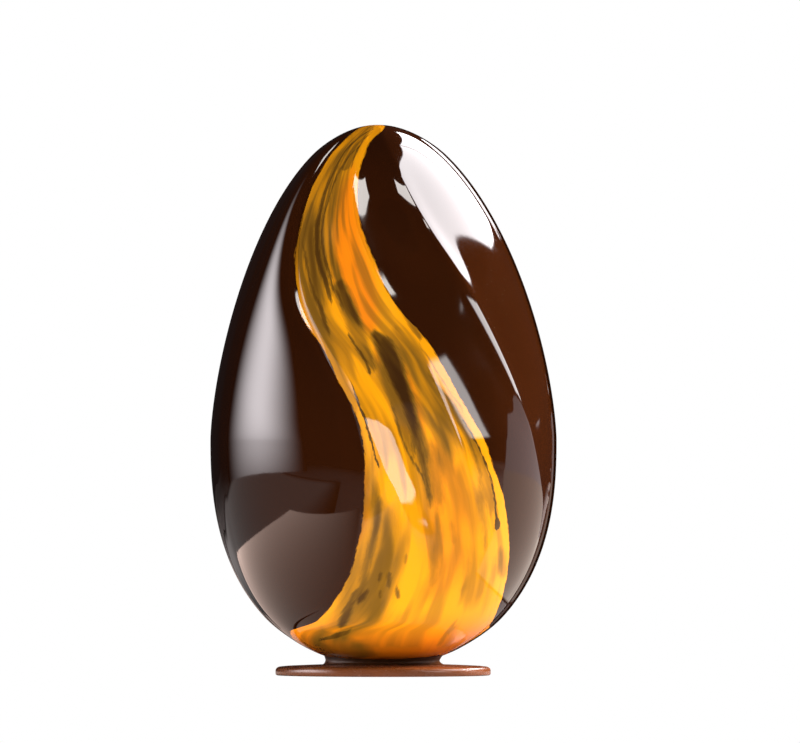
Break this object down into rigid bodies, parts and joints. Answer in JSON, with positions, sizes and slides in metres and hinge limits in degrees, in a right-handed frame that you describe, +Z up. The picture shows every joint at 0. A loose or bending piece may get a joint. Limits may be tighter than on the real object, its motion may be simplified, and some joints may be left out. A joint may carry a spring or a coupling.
{
  "type": "chocolate egg",
  "caption": "Glossy dark chocolate egg with swirling ridges and a brushed yellow stripe, joined upright on a poured chocolate disc.",
  "frame": {"origin": "centre of the disc's flat underside", "axes": "+Z up through the egg's tip, -Y out of the decorated front, +X to the right seen from the front"},
  "size_m": [0.1294, 0.129, 0.2046],
  "materials": {
    "dark_chocolate": "glossy tempered dark chocolate with a brushed yellow cocoa butter stripe",
    "milk_chocolate": "satin poured milk chocolate"
  },
  "bodies": {
    "root": {"egg_half_front": "dark_chocolate", "egg_half_back": "dark_chocolate", "melted_foot": "dark_chocolate", "base_disc": "milk_chocolate"}
  },
  "joints": []
}
